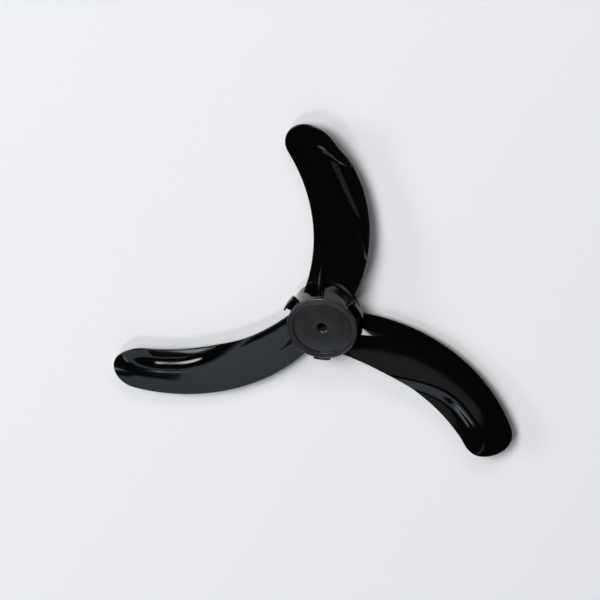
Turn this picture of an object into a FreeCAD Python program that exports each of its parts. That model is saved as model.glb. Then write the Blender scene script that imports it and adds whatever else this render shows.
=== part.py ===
import FreeCAD, Part
import math
import os

# One injection moulding: a hub with three swept, pitched blades.
# Millimetres and degrees. +Z is the shaft axis towards the front of the fan,
# and z = 0 is the rear rim of the hub, on which the loose part lies.

# Hub shell
hub_height = 29.0
hub_radius = 29.0
hub_wall = 2.4
ring_overhang = 1.1
ring_height = 5.0
ring_band = 5.2
bead_width = 1.3
bead_height = 0.4
ring_chamfer = 0.5
disc_recess = 1.2
disc_thickness = 3.0
groove_width = 0.9
groove_depth = 0.7

# Shaft boss behind the disc
shaft_radius = 4.0
shaft_clearance = 0.1
boss_wall = 6.0
mouth_chamfer = 0.8
pin_radius = 1.25
pin_clearance = 0.15
pin_seat_depth = 5.0
rib_count = 6
rib_thickness = 2.0
rib_depth = 14.0

# Ears around the hub, one in each gap between blades
ear_reach = 6.5
ear_angle = 24.0
ear_level = 18.0
ear_floor = 2.0
ear_lip_thickness = 1.6
ear_lip_height = 3.5

# Blade outline, in the blade's own plane: x outwards, y towards the bulging edge
tip_radius = 195.0
tip_rounding = 21.8
tip_lag = 5.5
hollow_edge_radius = 180.0
bulging_edge_radius = 151.0
hollow_root_angle = 42.0
bulging_root_angle = 45.0

# Blade section: the leading, anticlockwise edge lies towards the rear
blade_level = 15.0
root_pitch = 15.0
tip_pitch = 8.0
camber = 1.6
root_thickness = 3.2
tip_thickness = 2.4
edge_thickness = 1.3

# Scoop along each blade's trailing edge: the surface rolls back, then falls away as a flap
scoop_depth = 2.4
scoop_roll = 14.0
scoop_fall = 7.0
scoop_start = 45.0
scoop_rise = 30.0
scoop_full = 140.0
scoop_share = 0.46
scoop_end = 180.0
scoop_fade = 25.0

# Gusset on the front of each root, beside the leading edge
gusset_length = 46.0
gusset_width = 8.0
gusset_height = 3.0
gusset_inset = 9.0

# Azimuth of each blade, and the side its outline bulges to: 1 anticlockwise, -1 clockwise
blades = [(90.0, -1), (210.0, 1), (330.0, 1)]

# Sampling of the blade surface
surface_step = 5.0
surface_margin = 5.0

bore_radius = shaft_radius + shaft_clearance
boss_radius = bore_radius + boss_wall
ring_radius = hub_radius + ring_overhang
recess_radius = ring_radius - ring_band
skirt_radius = hub_radius - hub_wall
band_level = hub_height - bead_height
disc_level = band_level - disc_recess
ceiling_level = disc_level - disc_thickness
seat_radius = hub_radius - hub_wall / 2

Z = FreeCAD.Vector(0, 0, 1)
ORIGIN = FreeCAD.Vector(0, 0, 0)


def vec(x, y, z=0.0):
    return FreeCAD.Vector(x, y, z)


def polar(radius, angle):
    return vec(radius * math.cos(math.radians(angle)), radius * math.sin(math.radians(angle)))


def revolved(points, angle=360.0):
    """Turn a closed outline of (radius, z) corners around the shaft axis."""
    corners = [vec(radius, 0, level) for radius, level in points]
    return Part.Face(Part.makePolygon(corners + corners[:1])).revolve(ORIGIN, Z, angle)


def rims(solid, radius, level):
    """Circular edges of a turned solid at one radius and one height."""
    found = []
    for edge in solid.Edges:
        box = edge.BoundBox
        if abs(box.ZMin - level) + abs(box.ZMax - level) + abs(box.XMax - radius) < 0.01:
            found.append(edge)
    return found


def smooth(value):
    """Ease from 0 to 1 as the value goes from 0 to 1."""
    share = min(1.0, max(0.0, value))
    return share * share * (3.0 - 2.0 * share)


def crossing_below(centre_a, radius_a, centre_b, radius_b):
    """The crossing of two circles that lies on the lower side of the line between their centres."""
    line = centre_b - centre_a
    gap = line.Length
    along = (gap * gap + radius_a * radius_a - radius_b * radius_b) / (2.0 * gap)
    across = math.sqrt(radius_a * radius_a - along * along)
    line.normalize()
    return centre_a + line * along + vec(line.y, -line.x) * across


def heading(centre, point):
    return math.degrees(math.atan2(point.y - centre.y, point.x - centre.x))


def arc(centre, radius, start, end):
    angles = (start, (start + end) / 2.0, end)
    return Part.Arc(*[centre + polar(radius, angle) for angle in angles]).toShape()


# Outline: two long arcs from the hub, each tangent to the round of the tip
tip_centre = polar(tip_radius - tip_rounding, -tip_lag)
hollow_root = polar(hub_radius, -hollow_root_angle)
bulging_root = polar(hub_radius, bulging_root_angle)
hollow_centre = crossing_below(
    hollow_root, hollow_edge_radius, tip_centre, hollow_edge_radius + tip_rounding)
bulging_centre = crossing_below(
    bulging_root, bulging_edge_radius, tip_centre, bulging_edge_radius - tip_rounding)


def outline():
    hollow_end = heading(hollow_centre, tip_centre)
    bulging_end = heading(bulging_centre, tip_centre)
    hollow = arc(hollow_centre, hollow_edge_radius, heading(hollow_centre, hollow_root), hollow_end)
    tip = arc(tip_centre, tip_rounding, hollow_end - 180.0, bulging_end)
    bulging = arc(
        bulging_centre, bulging_edge_radius, bulging_end, heading(bulging_centre, bulging_root))
    root = [Part.makeLine(bulging_root, ORIGIN), Part.makeLine(ORIGIN, hollow_root)]
    return Part.Face(Part.Wire([hollow, tip, bulging] + root))


def edge_offset(centre, radius, x):
    return centre.y + math.sqrt(max(0.0, radius * radius - (x - centre.x) ** 2))


def chord(x, hand):
    """The trailing (clockwise) and leading (anticlockwise) edges of a blade at one distance out."""
    hollow = edge_offset(hollow_centre, hollow_edge_radius, x)
    bulging = edge_offset(bulging_centre, bulging_edge_radius, x)
    return (hollow, bulging) if hand > 0 else (-bulging, -hollow)


def along_blade(x):
    return (x - hub_radius) / (tip_radius - hub_radius)


def scoop_drop(x, y, hand):
    """How far the scoop takes the surface back, behind a crest that swings in from the trailing edge."""
    trailing, leading = chord(x, hand)
    swing = smooth((x - scoop_start) / (scoop_full - scoop_start))
    crest = trailing + (leading - trailing) * scoop_share * swing
    behind = max(0.0, crest - y)
    drop = (scoop_depth + behind * math.tan(math.radians(scoop_fall))) * smooth(behind / scoop_roll)
    return drop * smooth((x - scoop_start) / scoop_rise) * smooth((scoop_end - x) / scoop_fade)


def front_level(x, y, hand):
    """Height of a blade's front surface: pitch, camber and the scoop."""
    trailing, leading = chord(x, hand)
    middle = (trailing + leading) / 2.0
    half = (leading - trailing) / 2.0
    pitch = root_pitch + (tip_pitch - root_pitch) * along_blade(x)
    level = blade_level - (y - middle) * math.tan(math.radians(pitch))
    level += camber * (((y - middle) / half) ** 2 - 1.0)
    return level - scoop_drop(x, y, hand)


def back_level(x, y, hand):
    """Height of a blade's rear surface: the section is fullest mid-chord and thins to its edges."""
    trailing, leading = chord(x, hand)
    across = (2.0 * y - trailing - leading) / (leading - trailing)
    full = root_thickness + (tip_thickness - root_thickness) * along_blade(x)
    return front_level(x, y, hand) - edge_thickness - (full - edge_thickness) * (1.0 - across ** 2)


def blade_surface(face, hand, level):
    """A smooth face over the whole outline, at the heights that a function gives."""
    box = face.BoundBox
    x_count = math.ceil((box.XLength + 2 * surface_margin) / surface_step)
    y_count = math.ceil((box.YLength + 2 * surface_margin) / surface_step)
    rows = []
    for i in range(x_count + 1):
        x = box.XMin - surface_margin + i * surface_step
        ys = [box.YMin - surface_margin + j * surface_step for j in range(y_count + 1)]
        rows.append([vec(x, y, level(x, y, hand)) for y in ys])
    surface = Part.BSplineSurface()
    surface.interpolate(rows)
    return surface.toShape()


def sheet(hand):
    """One blade in its own plane, running in to the hub's axis."""
    face = outline()
    if hand < 0:
        face = face.mirror(ORIGIN, vec(0, 1))
    down = vec(0, 0, -2 * hub_height)
    below_front = blade_surface(face, hand, front_level).extrude(down)
    below_back = blade_surface(face, hand, back_level).extrude(down)
    face.translate(vec(0, 0, -hub_height))
    column = face.extrude(vec(0, 0, 3 * hub_height))
    return column.common(below_front).cut(below_back).Solids[0]


def gusset(hand):
    """A tapering ridge on the front of the root, sloping down to the strip along the leading edge."""
    root_angle = bulging_root_angle if hand > 0 else hollow_root_angle
    foot_y = polar(hub_radius, root_angle).y - gusset_inset
    crest_y = foot_y - gusset_width
    foot_x = math.sqrt(seat_radius ** 2 - foot_y ** 2)
    crest_x = math.sqrt(seat_radius ** 2 - crest_y ** 2)
    apex_x = hub_radius + gusset_length
    apex_y = chord(apex_x, hand)[1] - gusset_inset
    sink = root_thickness / 2
    foot = vec(foot_x, foot_y, front_level(foot_x, foot_y, hand) - sink)
    crest = vec(crest_x, crest_y, front_level(crest_x, crest_y, hand) + gusset_height)
    heel = vec(crest_x, crest_y, front_level(crest_x, crest_y, hand) - sink)
    apex = vec(apex_x, apex_y, front_level(apex_x, apex_y, hand) - sink)
    corners = [(foot, crest, heel), (foot, apex, crest), (crest, apex, heel), (heel, apex, foot)]
    faces = [Part.Face(Part.makePolygon(list(three) + [three[0]])) for three in corners]
    solid = Part.Solid(Part.Shell(faces))
    return solid if solid.Volume > 0 else solid.reversed()


def blade(azimuth, hand):
    """A blade with its gusset, trimmed to end within the hub's wall and turned to its place."""
    trim = Part.makeCylinder(seat_radius, 4 * hub_height, vec(0, 0, -hub_height))
    solid = sheet(hand).cut(trim)
    solid = solid.fuse(gusset(hand).cut(trim))
    solid.rotate(ORIGIN, Z, azimuth)
    return solid


def hub():
    """The shell, the recessed disc with its groove, and the bored boss, turned in one outline."""
    solid = revolved([
        (bore_radius, 0),
        (boss_radius, 0),
        (boss_radius, ceiling_level),
        (skirt_radius, ceiling_level),
        (skirt_radius, 0),
        (hub_radius, 0),
        (hub_radius, hub_height - ring_height),
        (ring_radius, hub_height - ring_height),
        (ring_radius, hub_height),
        (ring_radius - bead_width, hub_height),
        (ring_radius - bead_width, band_level),
        (recess_radius, band_level),
        (recess_radius, disc_level - groove_depth),
        (recess_radius - groove_width, disc_level - groove_depth),
        (recess_radius - groove_width, disc_level),
        (bore_radius, disc_level),
    ])
    solid = solid.makeChamfer(ring_chamfer, rims(solid, ring_radius, hub_height))
    return solid.makeChamfer(mouth_chamfer, rims(solid, bore_radius, disc_level))


def rib(angle):
    """A web between the boss and the hub's wall, behind the disc."""
    inner = boss_radius - boss_wall / 2
    web = Part.makeBox(
        seat_radius - inner, rib_thickness, rib_depth + disc_thickness / 2,
        vec(inner, -rib_thickness / 2, ceiling_level - rib_depth))
    web.rotate(ORIGIN, Z, angle)
    return web


def ear(azimuth):
    """A short arc of flange with an upstanding lip, outside the hub's wall."""
    outer = hub_radius + ear_reach
    solid = revolved([
        (seat_radius, ear_level),
        (outer, ear_level),
        (outer, ear_level + ear_floor + ear_lip_height),
        (outer - ear_lip_thickness, ear_level + ear_floor + ear_lip_height),
        (outer - ear_lip_thickness, ear_level + ear_floor),
        (seat_radius, ear_level + ear_floor),
    ], ear_angle)
    solid.rotate(ORIGIN, Z, azimuth - ear_angle / 2)
    return solid


def pin_seat():
    """The slot across the rear of the boss for the shaft's drive pin."""
    width = 2 * (pin_radius + pin_clearance)
    return Part.makeBox(
        2 * boss_radius, width, pin_seat_depth, vec(-boss_radius, -width / 2, 0))


def gap_azimuths():
    """The middle of each gap between neighbouring blades."""
    turns = sorted(azimuth for azimuth, hand in blades)
    following = turns[1:] + [turns[0] + 360.0]
    return [(here + there) / 2.0 for here, there in zip(turns, following)]


pieces = [blade(azimuth, hand) for azimuth, hand in blades]
pieces += [rib(360.0 * i / rib_count) for i in range(rib_count)]
pieces += [ear(azimuth) for azimuth in gap_azimuths()]
fan_blade = hub().fuse(pieces).cut(pin_seat()).removeSplitter().Solids[0]

os.makedirs("parts", exist_ok=True)
fan_blade.exportStep("parts/fan_blade.step")
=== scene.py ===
import logging
import math
from dataclasses import dataclass, field
from enum import Enum

import bmesh
import bpy
from mathutils import Matrix, Vector


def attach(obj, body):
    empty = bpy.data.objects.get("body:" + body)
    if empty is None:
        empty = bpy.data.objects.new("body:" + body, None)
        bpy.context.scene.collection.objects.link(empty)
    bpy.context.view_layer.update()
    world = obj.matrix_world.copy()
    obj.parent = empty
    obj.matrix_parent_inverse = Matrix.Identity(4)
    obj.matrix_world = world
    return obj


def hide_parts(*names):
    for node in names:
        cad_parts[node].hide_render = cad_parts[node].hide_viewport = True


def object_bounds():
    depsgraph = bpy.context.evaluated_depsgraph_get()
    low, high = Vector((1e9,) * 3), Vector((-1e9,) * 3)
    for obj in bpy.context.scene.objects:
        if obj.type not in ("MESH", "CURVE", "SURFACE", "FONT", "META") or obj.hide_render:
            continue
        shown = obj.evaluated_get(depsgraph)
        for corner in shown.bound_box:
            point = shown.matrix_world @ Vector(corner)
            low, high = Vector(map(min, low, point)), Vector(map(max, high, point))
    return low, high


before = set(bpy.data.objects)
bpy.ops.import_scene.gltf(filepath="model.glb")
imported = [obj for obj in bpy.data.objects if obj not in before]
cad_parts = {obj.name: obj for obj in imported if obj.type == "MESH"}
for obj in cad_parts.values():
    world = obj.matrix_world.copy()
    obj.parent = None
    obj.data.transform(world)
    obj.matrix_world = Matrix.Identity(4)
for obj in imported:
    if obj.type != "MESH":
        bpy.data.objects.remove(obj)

LOG = logging.getLogger("fan_blade")
MM = 0.001
NODE = "fan_blade"
BODY = "root"
IMAGE_SIDE = 600
MERGE_DISTANCE = 1e-7
SOFT_EDGE_ANGLE = 35.0
SOFT_EDGE_STEPS = 3
LAMP_HEIGHT = 2.5
COOL_LIGHT = (0.76, 0.87, 1.0)

CAD_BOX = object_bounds()

Point2 = tuple[float, float]
Point3 = tuple[float, float, float]


class Bulge(Enum):
    """The side of a blade that its long edge bulges to, seen from the front."""

    ANTICLOCKWISE = 1
    CLOCKWISE = -1


@dataclass(frozen=True)
class MouldedBlack:
    """Black moulded plastic, with a roughness that wanders and a faint relief.

    Attributes:
        name: Material name.
        colour: Base colour, linear.
        shine: Lowest and highest roughness.
        patch: Size of the patches of roughness, in metres.
        grain: Size of the relief, in metres.
        relief: Height of the relief, in metres.
        refraction: Index of refraction.
        patch_detail: Octaves of noise in the patches.
        patch_fineness: Strength of the finer octaves of the patches.
        patch_range: Noise values that give the lowest and the highest roughness.
        tint_range: Noise values that give the darkest and the lightest colour.
        tint_scale: Darkest and lightest colour, as shares of the base colour.
        grain_detail: Octaves of noise in the relief.
    """

    name: str
    colour: Point3
    shine: Point2
    patch: float
    grain: float
    relief: float
    refraction: float = 1.5
    patch_detail: float = 5.0
    patch_fineness: float = 0.6
    patch_range: Point2 = (0.35, 0.68)
    tint_range: Point2 = (0.3, 0.75)
    tint_scale: Point2 = (0.82, 1.2)
    grain_detail: float = 2.0

    def make(self) -> bpy.types.Material:
        """Build the material's nodes.

        Returns:
            The finished material.
        """
        material = bpy.data.materials.new(self.name)
        material.use_nodes = True
        nodes = material.node_tree.nodes
        links = material.node_tree.links
        shader = nodes["Principled BSDF"]
        shader.inputs["IOR"].default_value = self.refraction
        place = nodes.new("ShaderNodeTexCoord")

        cloud = nodes.new("ShaderNodeTexNoise")
        cloud.inputs["Scale"].default_value = 1.0 / self.patch
        cloud.inputs["Detail"].default_value = self.patch_detail
        cloud.inputs["Roughness"].default_value = self.patch_fineness
        links.new(place.outputs["Object"], cloud.inputs["Vector"])

        gloss = nodes.new("ShaderNodeMapRange")
        gloss.inputs["From Min"].default_value = self.patch_range[0]
        gloss.inputs["From Max"].default_value = self.patch_range[1]
        gloss.inputs["To Min"].default_value = self.shine[0]
        gloss.inputs["To Max"].default_value = self.shine[1]
        links.new(cloud.outputs["Fac"], gloss.inputs["Value"])
        links.new(gloss.outputs["Result"], shader.inputs["Roughness"])

        tint = nodes.new("ShaderNodeValToRGB")
        dark, light = tint.color_ramp.elements
        dark.position, light.position = self.tint_range
        dark.color = (*[c * self.tint_scale[0] for c in self.colour], 1.0)
        light.color = (*[c * self.tint_scale[1] for c in self.colour], 1.0)
        links.new(cloud.outputs["Fac"], tint.inputs["Fac"])
        links.new(tint.outputs["Color"], shader.inputs["Base Color"])

        speck = nodes.new("ShaderNodeTexNoise")
        speck.inputs["Scale"].default_value = 1.0 / self.grain
        speck.inputs["Detail"].default_value = self.grain_detail
        links.new(place.outputs["Object"], speck.inputs["Vector"])
        bump = nodes.new("ShaderNodeBump")
        bump.inputs["Strength"].default_value = 1.0
        bump.inputs["Distance"].default_value = self.relief
        links.new(speck.outputs["Fac"], bump.inputs["Height"])
        links.new(bump.outputs["Normal"], shader.inputs["Normal"])
        return material


BLADE_GLOSS = MouldedBlack(
    "blade_gloss", (0.0009, 0.0009, 0.0011), (0.05, 0.09), patch=0.035, grain=0.045, relief=0.00016)
HUB_SATIN = MouldedBlack(
    "hub_satin", (0.021, 0.0217, 0.0234), (0.17, 0.24), patch=0.012, grain=0.0006, relief=0.000012)


def ease(value: float) -> float:
    """Ease from 0 to 1 as the value goes from 0 to 1.

    Args:
        value: Any number.

    Returns:
        A share between 0 and 1.
    """
    share = min(1.0, max(0.0, value))
    return share * share * (3.0 - 2.0 * share)


def mix(start: float, end: float, share: float) -> float:
    """Blend two numbers.

    Args:
        start: The number at share 0.
        end: The number at share 1.
        share: How far to go from start to end.

    Returns:
        The blend.
    """
    return start + (end - start) * share


def link(name: str, mesh: bpy.types.Mesh) -> bpy.types.Object:
    """Put a mesh into the scene as an object at the origin.

    Args:
        name: Object name.
        mesh: The object's mesh.

    Returns:
        The object.
    """
    made = bpy.data.objects.new(name, mesh)
    bpy.context.scene.collection.objects.link(made)
    return made


def mesh_from(name: str, points: list[Point3], faces: list[tuple[int, ...]]) -> bpy.types.Mesh:
    """Make a closed mesh from points in millimetres.

    Args:
        name: Mesh name.
        points: Corner places, in millimetres.
        faces: Corner numbers of each face.

    Returns:
        A mesh in metres, with doubles merged and faces pointing outwards.
    """
    mesh = bpy.data.meshes.new(name)
    mesh.from_pydata([(x * MM, y * MM, z * MM) for x, y, z in points], [], faces)
    shell = bmesh.new()
    shell.from_mesh(mesh)
    bmesh.ops.remove_doubles(shell, verts=shell.verts, dist=MERGE_DISTANCE)
    bmesh.ops.dissolve_degenerate(shell, edges=shell.edges, dist=MERGE_DISTANCE)
    bmesh.ops.recalc_face_normals(shell, faces=shell.faces)
    shell.to_mesh(mesh)
    shell.free()
    return mesh


def settle(made: bpy.types.Object, name: str) -> bpy.types.Object:
    """Turn an object with modifiers into a plain object.

    Args:
        made: The object, which is removed.
        name: Name of the plain object.

    Returns:
        A new object whose mesh holds the modifiers' result.
    """
    bpy.context.view_layer.update()
    graph = bpy.context.evaluated_depsgraph_get()
    mesh = bpy.data.meshes.new_from_object(made.evaluated_get(graph), depsgraph=graph)
    mesh.name = name
    bpy.data.objects.remove(made)
    return link(name, mesh)


def smooth_shaded(made: bpy.types.Object, crease: float) -> bpy.types.Object:
    """Shade an object smooth, apart from its sharp edges.

    Args:
        made: The object.
        crease: Angle above which an edge stays sharp, in degrees.

    Returns:
        The same object.
    """
    made.data.polygons.foreach_set("use_smooth", [True] * len(made.data.polygons))
    made.data.set_sharp_from_angle(angle=math.radians(crease))
    return made


def soften(made: bpy.types.Object, width: float) -> None:
    """Round an object's edges.

    Args:
        made: The object.
        width: Width of the rounding, in millimetres.
    """
    bevel = made.modifiers.new("soft_edges", "BEVEL")
    bevel.width = width * MM
    bevel.segments = SOFT_EDGE_STEPS
    bevel.limit_method = "ANGLE"
    bevel.angle_limit = math.radians(SOFT_EDGE_ANGLE)


class AroundShaft:
    """A node tree that repeats a piece at even turns around the shaft axis."""

    def __init__(self) -> None:
        """Build the tree with its named inputs."""
        self.tree = bpy.data.node_groups.new("around_shaft", "GeometryNodeTree")
        self.add_input("Piece", "NodeSocketGeometry")
        self.count = self.add_input("Count", "NodeSocketInt")
        self.first = self.add_input("First turn", "NodeSocketFloat")
        self.step = self.add_input("Turn step", "NodeSocketFloat")
        self.finish = self.add_input("Finish", "NodeSocketMaterial")
        self.tree.interface.new_socket("Pieces", in_out="OUTPUT", socket_type="NodeSocketGeometry")
        nodes = self.tree.nodes
        source = nodes.new("NodeGroupInput")
        target = nodes.new("NodeGroupOutput")
        line = nodes.new("GeometryNodeMeshLine")
        line.inputs["Offset"].default_value = (0.0, 0.0, 0.0)
        index = nodes.new("GeometryNodeInputIndex")
        turn = nodes.new("ShaderNodeMath")
        turn.operation = "MULTIPLY_ADD"
        euler = nodes.new("ShaderNodeCombineXYZ")
        rotation = nodes.new("FunctionNodeEulerToRotation")
        copies = nodes.new("GeometryNodeInstanceOnPoints")
        real = nodes.new("GeometryNodeRealizeInstances")
        paint = nodes.new("GeometryNodeSetMaterial")
        join = self.tree.links.new
        join(source.outputs["Count"], line.inputs["Count"])
        join(index.outputs["Index"], turn.inputs[0])
        join(source.outputs["Turn step"], turn.inputs[1])
        join(source.outputs["First turn"], turn.inputs[2])
        join(turn.outputs["Value"], euler.inputs["Z"])
        join(euler.outputs["Vector"], rotation.inputs["Euler"])
        join(line.outputs["Mesh"], copies.inputs["Points"])
        join(source.outputs["Piece"], copies.inputs["Instance"])
        join(rotation.outputs["Rotation"], copies.inputs["Rotation"])
        join(copies.outputs["Instances"], real.inputs["Geometry"])
        join(real.outputs["Geometry"], paint.inputs["Geometry"])
        join(source.outputs["Finish"], paint.inputs["Material"])
        join(paint.outputs["Geometry"], target.inputs["Pieces"])

    def add_input(self, name: str, kind: str) -> str:
        """Add a named input to the tree.

        Args:
            name: The input's name.
            kind: Type of the input's socket.

        Returns:
            The identifier by which a modifier sets the input.
        """
        return self.tree.interface.new_socket(name, in_out="INPUT", socket_type=kind).identifier

    def repeat(
        self,
        made: bpy.types.Object,
        count: int,
        first: float,
        step: float,
        finish: bpy.types.Material,
    ) -> bpy.types.Object:
        """Repeat one piece around the shaft.

        Args:
            made: The piece at turn 0, which is removed.
            count: How many copies.
            first: Turn of the first copy, in degrees.
            step: Turn between copies, in degrees.
            finish: Material of every copy.

        Returns:
            A plain object that holds all the copies.
        """
        nodes = made.modifiers.new("around_shaft", "NODES")
        nodes.node_group = self.tree
        nodes[self.count] = count
        nodes[self.first] = math.radians(first)
        nodes[self.step] = math.radians(step)
        nodes[self.finish] = finish
        return settle(made, made.name + "_set")


@dataclass
class Hub:
    """The hub: a turned shell with a ringed front, a recessed disc and a bored boss.

    Millimetres and degrees. A rounding is the radius of an edge.
    """

    height: float = (CAD_BOX[1][2] - CAD_BOX[0][2]) / MM
    radius: float = 29.0
    wall: float = 2.4
    barrel_rounding: float = 0.4
    skirt_rounding: float = 0.3
    ring_overhang: float = 1.1
    ring_height: float = 5.0
    ring_band: float = 5.2
    ring_rounding: float = 1.0
    ring_under_rounding: float = 0.5
    bead_width: float = 1.3
    bead_height: float = 0.4
    bead_rounding: float = 0.3
    bead_foot_rounding: float = 0.1
    disc_recess: float = 1.2
    disc_thickness: float = 3.0
    disc_rounding: float = 0.25
    recess_rounding: float = 0.3
    ceiling_rounding: float = 0.6
    groove_width: float = 0.9
    groove_depth: float = 0.7
    groove_rounding: float = 0.15
    bore_radius: float = 4.1
    bore_rounding: float = 0.3
    boss_wall: float = 6.0
    boss_rounding: float = 0.4
    mouth_chamfer: float = 0.8
    mouth_rounding: float = 0.15
    pin_seat_width: float = 2.8
    pin_seat_depth: float = 5.0
    rib_count: int = 6
    rib_thickness: float = 2.0
    rib_depth: float = 14.0
    rib_rounding: float = 0.3
    ear_count: int = 3
    ear_first: float = 30.0
    ear_reach: float = 6.5
    ear_angle: float = 24.0
    ear_level: float = 18.0
    ear_floor: float = 2.0
    ear_lip_thickness: float = 1.6
    ear_lip_height: float = 3.5
    ear_rounding: float = 0.35
    ear_steps: int = 16
    segments: int = 192
    corner_steps: int = 4
    crease: float = 40.0

    @property
    def boss_radius(self) -> float:
        """Outer radius of the boss around the bore."""
        return self.bore_radius + self.boss_wall

    @property
    def seat_radius(self) -> float:
        """Middle of the hub's wall, where blades, ribs and ears end."""
        return self.radius - self.wall / 2

    @property
    def disc(self) -> float:
        """Height of the front of the disc."""
        return self.height - self.bead_height - self.disc_recess

    @property
    def ceiling(self) -> float:
        """Height of the underside of the disc."""
        return self.disc - self.disc_thickness

    @property
    def ring_under(self) -> float:
        """Height of the underside of the ring."""
        return self.height - self.ring_height

    def profile(self) -> list[Point2]:
        """The turned outline, with its corners rounded.

        Returns:
            Radius and height of each point, in millimetres.
        """
        ring = self.radius + self.ring_overhang
        bead = ring - self.bead_width
        band = self.height - self.bead_height
        recess = ring - self.ring_band
        skirt = self.radius - self.wall
        groove = self.disc - self.groove_depth
        corners = [
            (self.bore_radius, 0.0, self.bore_rounding),
            (self.boss_radius, 0.0, self.boss_rounding),
            (self.boss_radius, self.ceiling, self.ceiling_rounding),
            (skirt, self.ceiling, self.ceiling_rounding),
            (skirt, 0.0, self.skirt_rounding),
            (self.radius, 0.0, self.barrel_rounding),
            (self.radius, self.ring_under, self.barrel_rounding),
            (ring, self.ring_under, self.ring_under_rounding),
            (ring, self.height, self.ring_rounding),
            (bead, self.height, self.bead_rounding),
            (bead, band, self.bead_foot_rounding),
            (recess, band, self.recess_rounding),
            (recess, groove, self.groove_rounding),
            (recess - self.groove_width, groove, self.groove_rounding),
            (recess - self.groove_width, self.disc, self.disc_rounding),
            (self.bore_radius + self.mouth_chamfer, self.disc, self.mouth_rounding),
            (self.bore_radius, self.disc - self.mouth_chamfer, self.mouth_rounding),
        ]
        return rounded_loop(corners, self.corner_steps)

    def build(
        self, around: AroundShaft, finish: bpy.types.Material, gloss: bpy.types.Material,
    ) -> list[bpy.types.Object]:
        """Make the shell, ribs and ears.

        Args:
            around: Repeats pieces around the shaft.
            finish: Material of the hub.
            gloss: Material of the barrel below the ring and of the ears.

        Returns:
            The hub's objects.
        """
        shell = self.seated(link("hub_shell", lathe("hub_shell", self.profile(), self.segments)))
        self.paint(shell, finish, gloss)
        rib = link("hub_rib", self.rib_mesh())
        soften(rib, self.rib_rounding)
        ear = link("hub_ear", self.ear_mesh())
        soften(ear, self.ear_rounding)
        ribs = around.repeat(rib, self.rib_count, 0.0, 360.0 / self.rib_count, finish)
        ears = around.repeat(ear, self.ear_count, self.ear_first, 360.0 / self.ear_count, gloss)
        return [smooth_shaded(piece, self.crease) for piece in (shell, ribs, ears)]

    def paint(
        self, shell: bpy.types.Object, finish: bpy.types.Material, gloss: bpy.types.Material,
    ) -> None:
        """Give the barrel below the ring its own finish.

        Args:
            shell: The turned shell.
            finish: Material of the front and of the inside.
            gloss: Material of the barrel.
        """
        shell.data.materials.append(finish)
        shell.data.materials.append(gloss)
        for face in shell.data.polygons:
            outside = face.center.xy.length > self.seat_radius * MM
            below_ring = face.center.z < self.ring_under * MM
            face.material_index = int(outside and below_ring)

    def seated(self, shell: bpy.types.Object) -> bpy.types.Object:
        """Cut the slot for the drive pin across the rear of the boss.

        Args:
            shell: The turned shell, which is removed.

        Returns:
            The shell with its slot.
        """
        half = (self.boss_radius + self.wall, self.pin_seat_width / 2, self.pin_seat_depth)
        cutter = link("pin_seat", block("pin_seat", (-half[0], -half[1], -half[2]), half))
        cut = shell.modifiers.new("pin_seat", "BOOLEAN")
        cut.operation = "DIFFERENCE"
        cut.object = cutter
        made = settle(shell, "hub_shell")
        bpy.data.objects.remove(cutter)
        return made

    def rib_mesh(self) -> bpy.types.Mesh:
        """A web from the boss to the hub's wall, behind the disc.

        Returns:
            The web's mesh, at turn 0.
        """
        inner = self.boss_radius - self.boss_wall / 2
        half = self.rib_thickness / 2
        low = (inner, -half, self.ceiling - self.rib_depth)
        high = (self.seat_radius, half, self.ceiling + self.disc_thickness / 2)
        return block("hub_rib", low, high)

    def ear_mesh(self) -> bpy.types.Mesh:
        """A short arc of flange with an upstanding lip.

        Returns:
            The ear's mesh, centred on turn 0.
        """
        outer = self.radius + self.ear_reach
        inner = outer - self.ear_lip_thickness
        floor = self.ear_level + self.ear_floor
        lip = floor + self.ear_lip_height
        section = [
            (self.seat_radius, self.ear_level), (outer, self.ear_level), (outer, lip),
            (inner, lip), (inner, floor), (self.seat_radius, floor),
        ]
        steps = self.ear_steps
        points = []
        for i in range(steps + 1):
            turn = math.radians(self.ear_angle * (i / steps - 0.5))
            points += [(r * math.cos(turn), r * math.sin(turn), z) for r, z in section]
        size = len(section)
        faces = [tuple(range(size)), tuple(range(steps * size, steps * size + size))]
        for i in range(steps):
            for j in range(size):
                k = (j + 1) % size
                faces.append((i * size + j, i * size + k, (i + 1) * size + k, (i + 1) * size + j))
        return mesh_from("hub_ear", points, faces)


def rounded_loop(corners: list[Point3], steps: int) -> list[Point2]:
    """Round each corner of a closed outline.

    Args:
        corners: Two places and a rounding radius for each corner.
        steps: Straight runs in each rounded corner.

    Returns:
        The points of the rounded outline.
    """
    points = []
    for i, (x, y, radius) in enumerate(corners):
        here = Vector((x, y))
        before = (Vector(corners[i - 1][:2]) - here).normalized()
        after = (Vector(corners[(i + 1) % len(corners)][:2]) - here).normalized()
        half = before.angle(after) / 2
        reach = radius / math.tan(half)
        centre = here + (before + after).normalized() * (radius / math.sin(half))
        start = here + before * reach - centre
        end = here + after * reach - centre
        for k in range(steps + 1):
            arm = start.lerp(end, k / steps).normalized() * radius
            points.append(tuple(centre + arm))
    return points


def lathe(name: str, profile: list[Point2], segments: int) -> bpy.types.Mesh:
    """Turn a closed outline around the shaft axis.

    Args:
        name: Mesh name.
        profile: Radius and height of each point, in millimetres.
        segments: Steps in a full turn.

    Returns:
        The turned mesh.
    """
    size = len(profile)
    points = []
    for i in range(segments):
        turn = math.tau * i / segments
        points += [(r * math.cos(turn), r * math.sin(turn), z) for r, z in profile]
    faces = []
    for i in range(segments):
        near = i * size
        far = (i + 1) % segments * size
        for j in range(size):
            k = (j + 1) % size
            faces.append((near + j, near + k, far + k, far + j))
    return mesh_from(name, points, faces)


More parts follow.
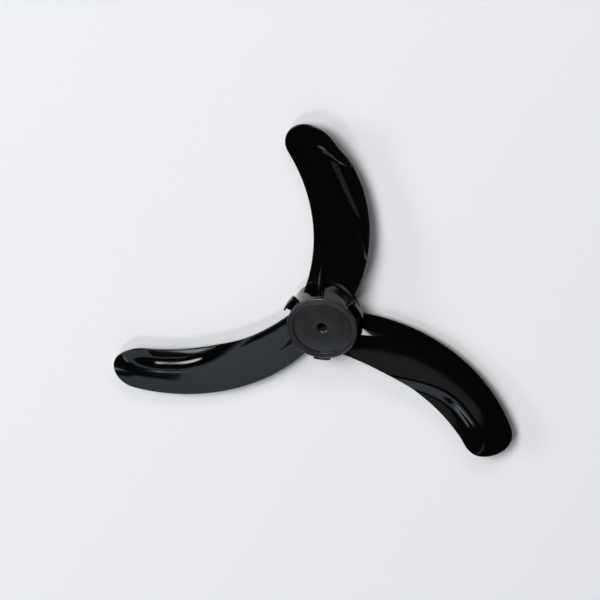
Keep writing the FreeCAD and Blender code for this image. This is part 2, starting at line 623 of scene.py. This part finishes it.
def block(name: str, low: Point3, high: Point3) -> bpy.types.Mesh:
    """Make a box between two corners.

    Args:
        name: Mesh name.
        low: The corner with the lowest places, in millimetres.
        high: The corner with the highest places, in millimetres.

    Returns:
        The box's mesh.
    """
    xs, ys, zs = zip(low, high)
    points = [(x, y, z) for x in xs for y in ys for z in zs]
    faces = [(0, 1, 3, 2), (4, 6, 7, 5), (0, 4, 5, 1), (2, 3, 7, 6), (0, 2, 6, 4), (1, 5, 7, 3)]
    return mesh_from(name, points, faces)


@dataclass
class BladeOutline:
    """A blade's outline: two long arcs from the hub, each tangent to the round of the tip.

    x runs outwards and y towards the bulging edge, in millimetres and degrees. The tip
    stops just short of the solid's, so that the mesh stays inside the solid's box.
    """

    hub_radius: float
    tip_radius: float = 194.95
    tip_rounding: float = 21.8
    tip_lag: float = 5.5
    hollow_radius: float = 180.0
    bulging_radius: float = 151.0
    hollow_root_angle: float = 42.0
    bulging_root_angle: float = 45.0
    tip: Vector = field(init=False)
    hollow: Vector = field(init=False)
    bulging: Vector = field(init=False)

    def __post_init__(self) -> None:
        """Work out the centres of the three arcs."""
        self.tip = spoke(self.tip_radius - self.tip_rounding, -self.tip_lag)
        hollow_root = spoke(self.hub_radius, -self.hollow_root_angle)
        bulging_root = spoke(self.hub_radius, self.bulging_root_angle)
        self.hollow = crossing_below(
            hollow_root, self.hollow_radius, self.tip, self.hollow_radius + self.tip_rounding)
        self.bulging = crossing_below(
            bulging_root, self.bulging_radius, self.tip, self.bulging_radius - self.tip_rounding)

    @property
    def reach(self) -> float:
        """The greatest distance out along x."""
        return self.tip.x + self.tip_rounding

    def long_edges(self, x: float) -> Point2:
        """The two long arcs at one distance out, ignoring the round of the tip.

        Args:
            x: Distance out.

        Returns:
            The hollow arc's and the bulging arc's y.
        """
        hollow = self.hollow.y + math.sqrt(self.hollow_radius ** 2 - (x - self.hollow.x) ** 2)
        bulging = self.bulging.y + math.sqrt(self.bulging_radius ** 2 - (x - self.bulging.x) ** 2)
        return hollow, bulging

    def edges(self, x: float) -> Point2:
        """The outline's two edges at one distance out.

        Args:
            x: Distance out, up to the blade's reach.

        Returns:
            The hollow side's and the bulging side's y.
        """
        low, high = self.long_edges(x)
        round_half = math.sqrt(max(0.0, self.tip_rounding ** 2 - (x - self.tip.x) ** 2))
        share = self.tip_rounding / (self.tip - self.hollow).length
        hollow_end = self.tip.lerp(self.hollow, share).x
        away = (self.tip - self.bulging).normalized()
        bulging_end = (self.tip + away * self.tip_rounding).x
        if x > hollow_end:
            low = self.tip.y - round_half
        if x > bulging_end:
            high = self.tip.y + round_half
        return low, high

    def inset(self, x: float, y: float) -> float:
        """How far a point lies inside the outline.

        Args:
            x: Distance out.
            y: Distance towards the bulging edge.

        Returns:
            Distance to the nearest edge, or 0 outside.
        """
        point = Vector((x, y))
        arm = point - self.tip
        from_hollow = (point - self.hollow).length - self.hollow_radius
        from_bulging = self.bulging_radius - (point - self.bulging).length
        beyond_hollow = arm.cross(self.hollow - self.tip) < 0.0
        beyond_bulging = arm.cross(self.tip - self.bulging) > 0.0
        if beyond_hollow and beyond_bulging:
            return max(0.0, self.tip_rounding - arm.length)
        return max(0.0, min(from_hollow, from_bulging))


def spoke(radius: float, angle: float) -> Vector:
    """Place a point around the shaft axis.

    Args:
        radius: Distance from the axis.
        angle: Turn from the x axis, in degrees.

    Returns:
        The point.
    """
    return Vector((radius * math.cos(math.radians(angle)), radius * math.sin(math.radians(angle))))


def crossing_below(centre_a: Vector, radius_a: float, centre_b: Vector, radius_b: float) -> Vector:
    """The crossing of two circles on the lower side of the line between their centres.

    Args:
        centre_a: Centre of the first circle.
        radius_a: Radius of the first circle.
        centre_b: Centre of the second circle.
        radius_b: Radius of the second circle.

    Returns:
        The crossing.
    """
    line = centre_b - centre_a
    along = (line.length_squared + radius_a ** 2 - radius_b ** 2) / (2.0 * line.length)
    across = math.sqrt(radius_a ** 2 - along ** 2)
    line.normalize()
    return centre_a + line * along + Vector((line.y, -line.x)) * across


@dataclass
class Blade:
    """Blades of one kind, each a closed sheet with a rounded rim and a gusset.

    The sheet is worked out in the blade's own plane: x runs outwards and y towards the
    leading, anticlockwise edge. Millimetres and degrees.
    """

    name: str
    outline: BladeOutline
    bulge: Bulge
    seat_radius: float
    count: int
    first_turn: float
    turn_step: float = 120.0
    level: float = 15.0
    root_pitch: float = 15.0
    tip_pitch: float = 8.0
    camber: float = 1.6
    root_thickness: float = 3.2
    tip_thickness: float = 2.4
    edge_thickness: float = 1.3
    scoop_depth: float = 2.4
    scoop_roll: float = 14.0
    scoop_fall: float = 7.0
    scoop_start: float = 45.0
    scoop_rise: float = 30.0
    scoop_full: float = 140.0
    scoop_share: float = 0.46
    scoop_end: float = 180.0
    scoop_fade: float = 25.0
    gusset_length: float = 46.0
    gusset_width: float = 8.0
    gusset_height: float = 3.0
    gusset_inset: float = 9.0
    gusset_rounding: float = 0.25
    along_steps: int = 110
    tip_steps: int = 30
    across_steps: int = 52
    rim_steps: int = 5
    root_halvings: int = 40
    usual_chord: float = 50.0
    sheet_crease: float = 80.0
    gusset_crease: float = 30.0

    def handed(self, edges: Point2) -> Point2:
        """Put a pair of edges in this blade's order.

        Args:
            edges: The hollow side's and the bulging side's y in the outline.

        Returns:
            The trailing (clockwise) and the leading edge's y in the blade's plane.
        """
        hollow, bulging = edges
        return (hollow, bulging) if self.bulge is Bulge.ANTICLOCKWISE else (-bulging, -hollow)

    def chord(self, x: float) -> Point2:
        """The trailing and the leading edge at one distance out, ignoring the tip's round.

        Args:
            x: Distance out.

        Returns:
            The y of both edges.
        """
        return self.handed(self.outline.long_edges(x))

    def span(self, x: float) -> Point2:
        """The trailing and the leading edge at one distance out, with the tip's round.

        Args:
            x: Distance out.

        Returns:
            The y of both edges.
        """
        return self.handed(self.outline.edges(x))

    def along(self, x: float) -> float:
        """Share of the way from the hub to the tip.

        Args:
            x: Distance out.

        Returns:
            0 at the hub and 1 at the tip.
        """
        return (x - self.outline.hub_radius) / (self.outline.tip_radius - self.outline.hub_radius)

    def scoop(self, x: float, y: float) -> float:
        """How far the scoop takes the surface back, behind a crest that swings in.

        Args:
            x: Distance out.
            y: Distance towards the leading edge.

        Returns:
            The drop of the surface.
        """
        trailing, leading = self.chord(x)
        swing = ease((x - self.scoop_start) / (self.scoop_full - self.scoop_start))
        crest = mix(trailing, leading, self.scoop_share * swing)
        behind = max(0.0, crest - y)
        drop = self.scoop_depth + behind * math.tan(math.radians(self.scoop_fall))
        drop *= ease(behind / self.scoop_roll)
        drop *= ease((x - self.scoop_start) / self.scoop_rise)
        return drop * ease((self.scoop_end - x) / self.scoop_fade)

    def front(self, x: float, y: float) -> float:
        """Height of the front surface: pitch, camber and the scoop.

        Args:
            x: Distance out.
            y: Distance towards the leading edge.

        Returns:
            The height above the hub's rear rim.
        """
        trailing, leading = self.chord(x)
        middle = (trailing + leading) / 2
        half = (leading - trailing) / 2
        pitch = mix(self.root_pitch, self.tip_pitch, self.along(x))
        height = self.level - (y - middle) * math.tan(math.radians(pitch))
        height += self.camber * (((y - middle) / half) ** 2 - 1.0)
        return height - self.scoop(x, y)

    def thickness(self, x: float, y: float) -> float:
        """Thickness of the sheet, fullest mid-chord and thin at its edges.

        Args:
            x: Distance out.
            y: Distance towards the leading edge.

        Returns:
            The thickness.
        """
        trailing, leading = self.chord(x)
        across = (2.0 * y - trailing - leading) / (leading - trailing)
        full = mix(self.root_thickness, self.tip_thickness, self.along(x))
        return mix(full, self.edge_thickness, across ** 2)

    def root(self, share: float) -> float:
        """Find where a line along the blade meets the middle of the hub's wall.

        Args:
            share: Share of the chord at which the line runs.

        Returns:
            The distance out, found by halving.
        """
        near, far = 0.0, 2.0 * self.seat_radius
        for _ in range(self.root_halvings):
            x = (near + far) / 2
            trailing, leading = self.span(x)
            if math.hypot(x, mix(trailing, leading, share)) < self.seat_radius:
                near = x
            else:
                far = x
        return far

    def shares_along(self) -> list[float]:
        """Stations from the root to the tip, closing up around the tip's round.

        Returns:
            Shares of the way out.
        """
        start = self.seat_radius
        tip_x = self.outline.tip.x
        straight = [mix(start, tip_x, i / self.along_steps) for i in range(self.along_steps)]
        turns = [math.pi / 2 * i / self.tip_steps for i in range(self.tip_steps + 1)]
        bent = [tip_x + self.outline.tip_rounding * math.sin(turn) for turn in turns]
        return [(x - start) / (self.outline.reach - start) for x in straight + bent]

    def shares_across(self) -> list[float]:
        """Stations from the trailing to the leading edge, close together at the rounded rims.

        Returns:
            Shares of the chord.
        """
        half_rim = self.edge_thickness / 2 / self.usual_chord
        turns = [math.pi / 2 * i / self.rim_steps for i in range(self.rim_steps)]
        rim = [half_rim * (1.0 - math.cos(turn)) for turn in turns]
        steps = self.across_steps
        middle = [mix(half_rim, 1.0 - half_rim, i / steps) for i in range(steps + 1)]
        return rim + middle + [1.0 - share for share in reversed(rim)]

    def surface_points(self) -> tuple[list[Point3], list[Point3], int]:
        """Points of the front and of the rear, row by row from the root.

        Returns:
            The front points, the rear points and how many there are in a row.
        """
        across = self.shares_across()
        roots = [self.root(share) for share in across]
        front: list[Point3] = []
        rear: list[Point3] = []
        for share_out in self.shares_along():
            for share, start in zip(across, roots):
                x = mix(start, self.outline.reach, share_out)
                trailing, leading = self.span(x)
                y = mix(trailing, leading, share)
                inset = self.outline.inset(x, y * self.bulge.value)
                depth = min(1.0, inset / (self.edge_thickness / 2))
                full = math.sqrt(max(0.0, 1.0 - (1.0 - depth) ** 2))
                thick = self.thickness(x, y)
                top = self.front(x, y) - (1.0 - full) * thick / 2
                front.append((x, y, top))
                rear.append((x, y, top - thick * full))
        return front, rear, len(across)

    def sheet_mesh(self) -> bpy.types.Mesh:
        """The closed sheet of the blade.

        Returns:
            A mesh in the blade's own plane.
        """
        front, rear, row = self.surface_points()
        rows = len(front) // row
        shift = len(front)
        faces: list[tuple[int, ...]] = []
        for i in range(rows - 1):
            for j in range(row - 1):
                quad = (i * row + j, i * row + j + 1, (i + 1) * row + j + 1, (i + 1) * row + j)
                faces.append(quad)
                faces.append(tuple(shift + corner for corner in reversed(quad)))
        faces += [(j, shift + j, shift + j + 1, j + 1) for j in range(row - 1)]
        return mesh_from(self.name, front + rear, faces)

    def gusset_mesh(self) -> bpy.types.Mesh:
        """A tapering ridge on the root, sloping down to the strip along the leading edge.

        Returns:
            A mesh in the blade's own plane.
        """
        root_angle = self.outline.bulging_root_angle
        if self.bulge is Bulge.CLOCKWISE:
            root_angle = self.outline.hollow_root_angle
        foot_y = spoke(self.outline.hub_radius, root_angle).y - self.gusset_inset
        crest_y = foot_y - self.gusset_width
        foot_x = math.sqrt(self.seat_radius ** 2 - foot_y ** 2)
        crest_x = math.sqrt(self.seat_radius ** 2 - crest_y ** 2)
        apex_x = self.outline.hub_radius + self.gusset_length
        apex_y = self.chord(apex_x)[1] - self.gusset_inset
        sink = self.root_thickness / 2
        points = [
            (foot_x, foot_y, self.front(foot_x, foot_y) - sink),
            (crest_x, crest_y, self.front(crest_x, crest_y) + self.gusset_height),
            (crest_x, crest_y, self.front(crest_x, crest_y) - sink),
            (apex_x, apex_y, self.front(apex_x, apex_y) - sink),
        ]
        faces = [(0, 1, 2), (0, 3, 1), (1, 3, 2), (2, 3, 0)]
        return mesh_from(self.name + "_gusset", points, faces)

    def build(self, around: AroundShaft, finish: bpy.types.Material) -> list[bpy.types.Object]:
        """Make the blade and its gusset and set them around the shaft.

        Args:
            around: Repeats pieces around the shaft.
            finish: Material of the blades.

        Returns:
            The object of the sheets and the object of the gussets.
        """
        sheet = link(self.name, self.sheet_mesh())
        sheets = around.repeat(sheet, self.count, self.first_turn, self.turn_step, finish)
        gusset = link(self.name + "_gusset", self.gusset_mesh())
        soften(gusset, self.gusset_rounding)
        gussets = around.repeat(gusset, self.count, self.first_turn, self.turn_step, finish)
        return [smooth_shaded(sheets, self.sheet_crease), smooth_shaded(gussets, self.gusset_crease)]


@dataclass
class Softbox:
    """An oblong studio lamp. Metres, watts and degrees.

    It either hangs flat, turned about the vertical, or is tilted to look at the part.
    """

    name: str
    place: Point3
    width: float
    depth: float
    power: float
    turn: float = 0.0
    flat: bool = True
    colour: Point3 = (1.0, 1.0, 1.0)

    def build(self) -> None:
        """Put the lamp into the scene."""
        lamp = bpy.data.lights.new(self.name, "AREA")
        lamp.shape = "RECTANGLE"
        lamp.size = self.width
        lamp.size_y = self.depth
        lamp.energy = self.power
        lamp.color = self.colour
        made = bpy.data.objects.new(self.name, lamp)
        made.location = self.place
        made.rotation_euler = (0.0, 0.0, math.radians(self.turn))
        if not self.flat:
            made.rotation_euler = (-made.location).to_track_quat("-Z", "Y").to_euler()
        bpy.context.scene.collection.objects.link(made)


@dataclass
class Studio:
    """The floor, the lamps and the camera.

    Metres, degrees and pixels of the square image, with the sensor in millimetres.
    """

    lean_right: float = 8.9
    lean_up: float = 34.0
    roll: float = -1.4
    distance: float = 9.0
    pixels_per_mm: float = 1.19
    ring_pixel: Point2 = (321.8, 329.0)
    sensor_width: float = 36.0
    clip_end: float = 50.0
    floor_side: float = 12.0
    floor_colour: Point3 = (0.87, 0.88, 0.90)
    floor_roughness: float = 1.0
    floor_sheen: float = 0.0
    sky: Point3 = (0.02, 0.02, 0.0215)
    lamps: list[Softbox] = field(default_factory=lambda: [
        Softbox("key", (-2.62, 4.78, 6.8), 3.8, 3.8, power=560.0, flat=False),
        Softbox("back", (0.32, 5.12, 2.8), 4.16, 1.12, power=80.0, flat=False),
        Softbox("side", (-4.95, 0.45, 1.95), 3.0, 1.05, power=76.0, flat=False),
        Softbox("panel", (0.40, -3.85, LAMP_HEIGHT), 1.80, 3.6, power=15.8, colour=COOL_LIGHT),
        Softbox("panel_wing", (-0.60, -2.60, LAMP_HEIGHT), 0.20, 1.00, power=0.49, colour=COOL_LIGHT),
        Softbox("band", (0.505, -0.45, LAMP_HEIGHT), 0.32, 1.56, power=0.43, turn=10.5),
        Softbox("haze", (-0.62, -4.08, LAMP_HEIGHT), 0.22, 0.44, power=1.3, colour=COOL_LIGHT),
        Softbox("glow", (-1.05, -3.05, LAMP_HEIGHT), 0.40, 0.7, power=2.4, colour=COOL_LIGHT),
        Softbox("strip", (-0.967, -0.746, LAMP_HEIGHT), 1.24, 0.3, power=12.5, turn=48.5),
    ])

    def build_floor(self) -> None:
        """Lay the plain pale floor under the part."""
        half = self.floor_side / 2
        points = [(-half, -half, 0.0), (half, -half, 0.0), (half, half, 0.0), (-half, half, 0.0)]
        mesh = bpy.data.meshes.new("floor")
        mesh.from_pydata(points, [], [(0, 1, 2, 3)])
        floor = link("floor", mesh)
        material = bpy.data.materials.new("pale_floor")
        material.use_nodes = True
        shader = material.node_tree.nodes["Principled BSDF"]
        shader.inputs["Base Color"].default_value = (*self.floor_colour, 1.0)
        shader.inputs["Roughness"].default_value = self.floor_roughness
        shader.inputs["Specular IOR Level"].default_value = self.floor_sheen
        floor.data.materials.append(material)

    def build_sky(self) -> None:
        """Give the studio its dim, even light."""
        world = bpy.data.worlds.new("sky")
        world.use_nodes = True
        world.node_tree.nodes["Background"].inputs["Color"].default_value = (*self.sky, 1.0)
        bpy.context.scene.world = world

    def build_camera(self, ring_height: float) -> None:
        """Aim the camera so that the hub's front ring falls on its pixel.

        Args:
            ring_height: Height of the ring above the floor, in metres.
        """
        tilt = Matrix.Rotation(math.radians(self.lean_up), 3, "X")
        swing = Matrix.Rotation(-math.radians(self.lean_right), 3, "Y")
        roll = Matrix.Rotation(math.radians(self.roll), 3, "Z")
        turn = (tilt @ swing @ roll).transposed()
        right, up, back = turn.col[0], turn.col[1], turn.col[2]
        metres_per_pixel = MM / self.pixels_per_mm
        aim = Vector((0.0, 0.0, ring_height))
        aim -= right * (self.ring_pixel[0] - IMAGE_SIDE / 2) * metres_per_pixel
        aim += up * (self.ring_pixel[1] - IMAGE_SIDE / 2) * metres_per_pixel
        lens = bpy.data.cameras.new("camera")
        lens.sensor_width = self.sensor_width
        lens.lens = self.sensor_width * self.pixels_per_mm / MM * self.distance / IMAGE_SIDE
        lens.clip_end = self.clip_end
        camera = bpy.data.objects.new("camera", lens)
        camera.matrix_world = Matrix.Translation(aim + back * self.distance) @ turn.to_4x4()
        bpy.context.scene.collection.objects.link(camera)
        bpy.context.scene.camera = camera

    def build(self, ring_height: float) -> None:
        """Set up the whole studio.

        Args:
            ring_height: Height of the hub's front ring above the floor, in metres.
        """
        self.build_floor()
        self.build_sky()
        for lamp in self.lamps:
            lamp.build()
        self.build_camera(ring_height)
        bpy.context.scene.view_settings.view_transform = "Standard"


def dress(piece: bpy.types.Object) -> None:
    """Hide the solid's node and tie a finished piece to the part's body.

    Args:
        piece: The piece.
    """
    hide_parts(NODE)
    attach(piece, BODY)
    LOG.info("%s: %d faces", piece.name, len(piece.data.polygons))


def main() -> None:
    """Build the hub, the blades and the studio."""
    logging.basicConfig(level=logging.INFO, format="%(name)s %(message)s")
    gloss = BLADE_GLOSS.make()
    satin = HUB_SATIN.make()
    around = AroundShaft()
    hub = Hub()
    seat = hub.seat_radius
    outline = BladeOutline(hub.radius)
    upper = Blade("upper_blade", outline, Bulge.CLOCKWISE, seat, count=1, first_turn=90.0)
    lower = Blade("lower_blades", outline, Bulge.ANTICLOCKWISE, seat, count=2, first_turn=210.0)
    pieces = hub.build(around, satin, gloss)
    pieces += upper.build(around, gloss)
    pieces += lower.build(around, gloss)
    for piece in pieces:
        dress(piece)
    Studio().build(CAD_BOX[1][2])


if __name__ == "__main__":
    main()
